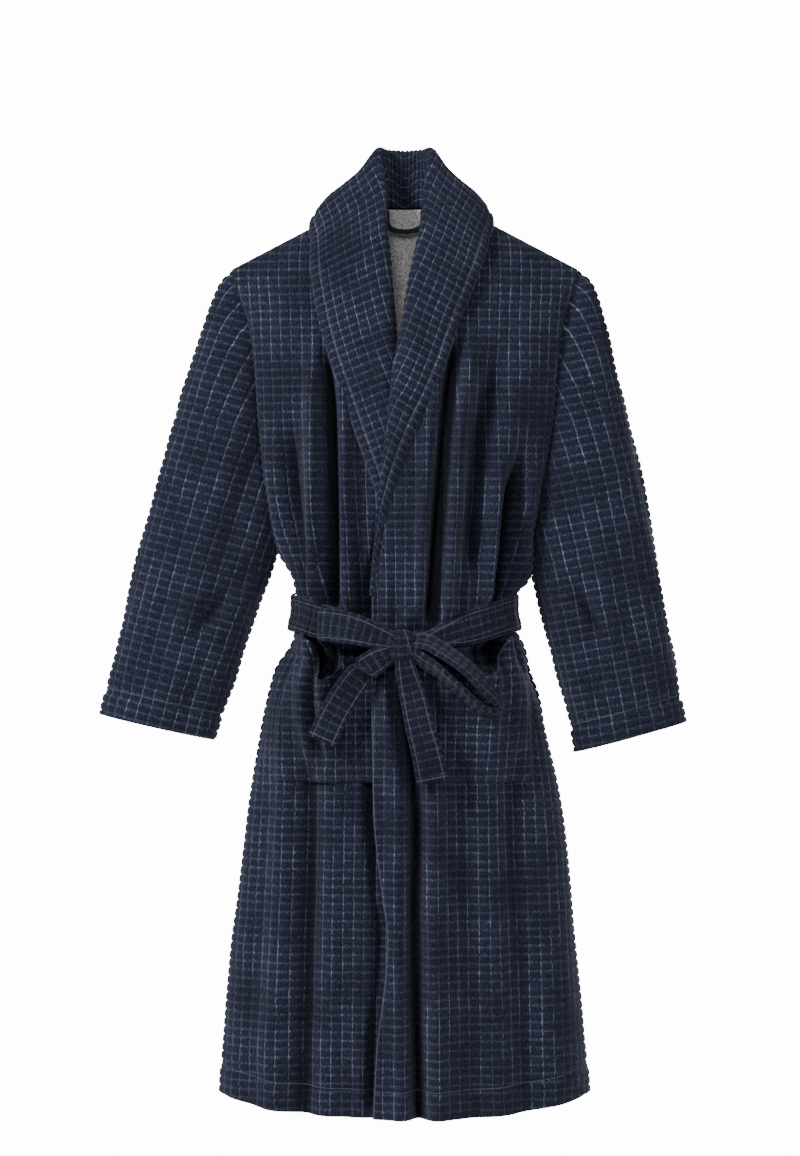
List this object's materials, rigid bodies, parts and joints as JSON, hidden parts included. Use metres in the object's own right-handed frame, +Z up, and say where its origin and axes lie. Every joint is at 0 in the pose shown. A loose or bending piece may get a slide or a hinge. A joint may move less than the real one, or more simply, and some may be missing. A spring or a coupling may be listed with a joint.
{
  "type": "bathrobe",
  "caption": "Knee-length shawl-collar bathrobe in ribbed pile cloth, hanging closed with its belt tied in a bow, with set-in sleeves and patch pockets",
  "frame": {"origin": "the seat of a hanger's neck, at the middle of the collar where the hook of a hanger comes out of the robe", "axes": "+X to the wearer's left, -Y to the front, +Z up along the hanging robe"},
  "size_m": [0.7053, 0.2361, 1.1781],
  "materials": {
    "pile_cloth": "navy cotton velour woven in rows of small raised blocks with pale pin lines between them",
    "belt_cloth": "the same navy pile cloth, folded double and edge stitched",
    "trim": "flat woven navy cotton tape"
  },
  "bodies": {
    "root": {"back_panel": "pile_cloth", "left_front": "pile_cloth", "right_front": "pile_cloth", "left_facing": "pile_cloth", "right_facing": "pile_cloth", "left_collar": "pile_cloth", "right_collar": "pile_cloth", "left_pocket": "pile_cloth", "right_pocket": "pile_cloth", "belt_band": "belt_cloth", "belt_knot": "belt_cloth", "left_belt_loop": "trim", "right_belt_loop": "trim"},
    "left_sleeve": {"left_sleeve": "pile_cloth"},
    "right_sleeve": {"right_sleeve": "pile_cloth"},
    "left_bow_loop": {"left_bow_loop": "belt_cloth"},
    "right_bow_loop": {"right_bow_loop": "belt_cloth"},
    "left_belt_tail": {"left_belt_tail": "belt_cloth"},
    "right_belt_tail": {"right_belt_tail": "belt_cloth"},
    "hanging_loop": {"hanging_loop": "trim"}
  },
  "joints": [
    {"name": "left_sleeve_lift", "type": "hinge", "parent": "root", "child": "left_sleeve", "pos_m": [0.22, 0, -0.1385], "axis": [0, -1, 0], "range_deg": [0, 30]},
    {"name": "right_sleeve_lift", "type": "hinge", "parent": "root", "child": "right_sleeve", "pos_m": [-0.22, 0, -0.1385], "axis": [0, 1, 0], "range_deg": [0, 30]},
    {"name": "left_bow_swing", "type": "hinge", "parent": "root", "child": "left_bow_loop", "pos_m": [0.012, -0.1, -0.582], "axis": [-1, 0, 0], "range_deg": [0, 55]},
    {"name": "right_bow_swing", "type": "hinge", "parent": "root", "child": "right_bow_loop", "pos_m": [-0.024, -0.094, -0.554], "axis": [-1, 0, 0], "range_deg": [0, 55]},
    {"name": "left_tail_swing", "type": "hinge", "parent": "root", "child": "left_belt_tail", "pos_m": [0.004, -0.093, -0.62], "axis": [-1, 0, 0], "range_deg": [0, 60]},
    {"name": "right_tail_swing", "type": "hinge", "parent": "root", "child": "right_belt_tail", "pos_m": [-0.028, -0.088, -0.597], "axis": [-1, 0, 0], "range_deg": [0, 25]},
    {"name": "hanging_loop_flip", "type": "hinge", "parent": "root", "child": "hanging_loop", "pos_m": [0, 0.0098, -0.0615], "axis": [-1, 0, 0], "range_deg": [0, 150]}
  ]
}
